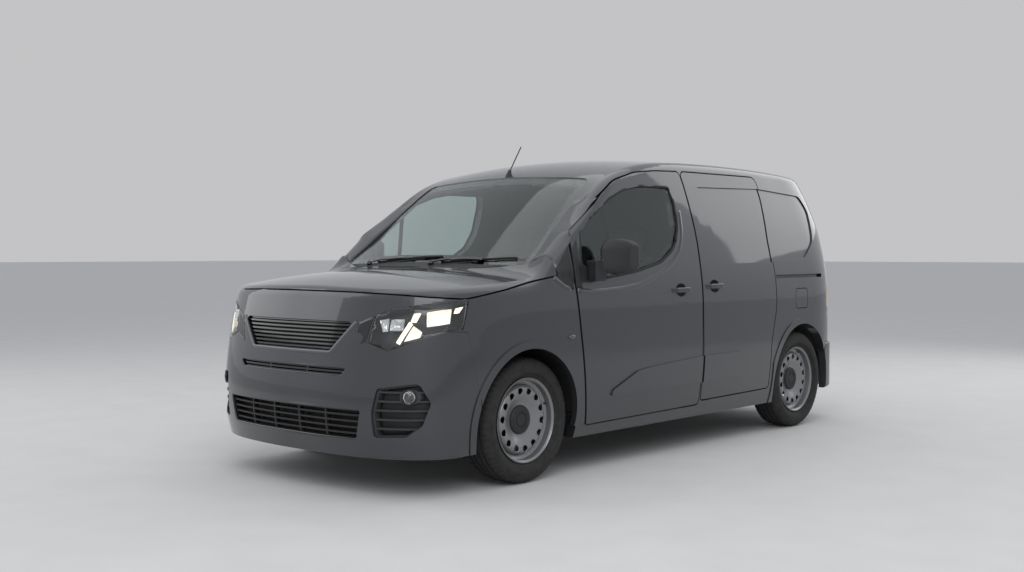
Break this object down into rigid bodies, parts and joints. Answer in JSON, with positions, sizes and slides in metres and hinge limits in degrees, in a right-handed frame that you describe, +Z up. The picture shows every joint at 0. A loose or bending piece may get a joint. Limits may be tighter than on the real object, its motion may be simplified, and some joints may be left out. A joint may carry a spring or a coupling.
{
  "type": "panel van",
  "caption": "Compact dark grey panel van with blank sides, sliding side doors, twin rear doors and steel wheels.",
  "frame": {"origin": "on the ground, midway along the length and width", "axes": "+Z up, -Y towards the nose, +X towards the van's left side"},
  "size_m": [2.107, 4.4043, 1.8493],
  "materials": {
    "black_plastic": "matte",
    "bumper_grey": "satin",
    "cast": "rough",
    "cloth": "matte",
    "engine": "satin",
    "exhaust_steel": "satin",
    "glass": "glossy",
    "lamp_clear": "glossy",
    "lamp_red": "glossy",
    "paint": "glossy",
    "steel_wheel": "satin",
    "trim_grey": "matte",
    "tyre": "matte",
    "underbody": "matte"
  },
  "bodies": {
    "body": {"aerial": "black_plastic", "body_side_left": "paint", "body_side_right": "paint", "bulkhead": "underbody", "chassis_rails": "underbody", "dashboard": "trim_grey", "engine_block": "engine", "exhaust": "exhaust_steel", "floor_pan": "underbody", "fog_bezels": "black_plastic", "front_bumper": "paint", "front_subframe": "cast", "front_wing_left": "paint", "front_wing_right": "paint", "fuel_tank": "black_plastic", "headlamps": "lamp_clear", "lower_grille": "black_plastic", "radiator": "engine", "rear_axle": "cast", "rear_bumper": "bumper_grey", "roof_panel": "paint", "scuttle_panel": "black_plastic", "seat_bases": "underbody", "seats": "cloth", "sliding_door_left": "paint", "sliding_door_right": "paint", "tail_lamps": "lamp_red", "upper_grille": "black_plastic", "wheel_liner_left": "black_plastic", "wheel_liner_right": "black_plastic", "windscreen": "glass", "wipers": "black_plastic"},
    "bonnet_lid": {"bonnet": "paint"},
    "cab_door_left": {"front_door_left": "paint", "door_glass_left": "glass", "mirror_left": "black_plastic"},
    "cab_door_right": {"front_door_right": "paint", "door_glass_right": "glass", "mirror_right": "black_plastic"},
    "load_door_left": {"rear_door_left": "paint"},
    "load_door_right": {"rear_door_right": "paint"},
    "filler_flap": {"fuel_flap": "paint"},
    "upright_left": {"knuckle_left": "cast"},
    "upright_right": {"knuckle_right": "cast"},
    "steering": {"steering_wheel": "trim_grey"},
    "wheel_front_left": {"tyre_front_left": "tyre", "rim_front_left": "steel_wheel"},
    "wheel_front_right": {"tyre_front_right": "tyre", "rim_front_right": "steel_wheel"},
    "wheel_rear_left": {"tyre_rear_left": "tyre", "rim_rear_left": "steel_wheel"},
    "wheel_rear_right": {"tyre_rear_right": "tyre", "rim_rear_right": "steel_wheel"}
  },
  "joints": [
    {"name": "bonnet_hinge", "type": "hinge", "parent": "body", "child": "bonnet_lid", "pos_m": [0, -1.06, 1.145], "axis": [-1, 0, 0], "range_deg": [0, 55]},
    {"name": "cab_door_left_hinge", "type": "hinge", "parent": "body", "child": "cab_door_left", "pos_m": [0.884, -1, 0.75], "axis": [0, 0, -1], "range_deg": [0, 70]},
    {"name": "cab_door_right_hinge", "type": "hinge", "parent": "body", "child": "cab_door_right", "pos_m": [-0.884, -1, 0.75], "axis": [0, 0, 1], "range_deg": [0, 70]},
    {"name": "load_door_left_hinge", "type": "hinge", "parent": "body", "child": "load_door_left", "pos_m": [0.776, 2.062, 1], "axis": [0, 0, -1], "range_deg": [0, 180]},
    {"name": "load_door_right_hinge", "type": "hinge", "parent": "body", "child": "load_door_right", "pos_m": [-0.776, 2.062, 1], "axis": [0, 0, 1], "range_deg": [0, 180]},
    {"name": "filler_flap_hinge", "type": "hinge", "parent": "body", "child": "filler_flap", "pos_m": [0.907, 1.397, 0.883], "axis": [0, 0, -1], "range_deg": [0, 70]},
    {"name": "steer_left", "type": "hinge", "parent": "body", "child": "upright_left", "pos_m": [0.68616, -1.3095, 0.326], "axis": [-0.2515, 0, 0.9679], "range_deg": [-35, 35]},
    {"name": "steer_right", "type": "hinge", "parent": "body", "child": "upright_right", "pos_m": [-0.68616, -1.3095, 0.326], "axis": [0.2515, 0, 0.9679], "range_deg": [-35, 35]},
    {"name": "steering_wheel_turn", "type": "hinge", "parent": "body", "child": "steering", "pos_m": [0.37, -0.59, 1.01], "axis": [0, 0.848, 0.5299], "range_deg": [-525, 525]},
    {"name": "wheel_front_left_spin", "type": "hinge", "parent": "upright_left", "child": "wheel_front_left", "pos_m": [0.7765, -1.3095, 0.326], "axis": [1, 0, 0], "continuous": true},
    {"name": "wheel_rear_left_spin", "type": "hinge", "parent": "body", "child": "wheel_rear_left", "pos_m": [0.784, 1.4755, 0.326], "axis": [1, 0, 0], "continuous": true},
    {"name": "wheel_front_right_spin", "type": "hinge", "parent": "upright_right", "child": "wheel_front_right", "pos_m": [-0.7765, -1.3095, 0.326], "axis": [1, 0, 0], "continuous": true},
    {"name": "wheel_rear_right_spin", "type": "hinge", "parent": "body", "child": "wheel_rear_right", "pos_m": [-0.784, 1.4755, 0.326], "axis": [1, 0, 0], "continuous": true}
  ],
  "couplings": [
    {"joint": "steer_right", "follows": "steer_left", "ratio": 1},
    {"joint": "steering_wheel_turn", "follows": "steer_left", "ratio": 15}
  ]
}
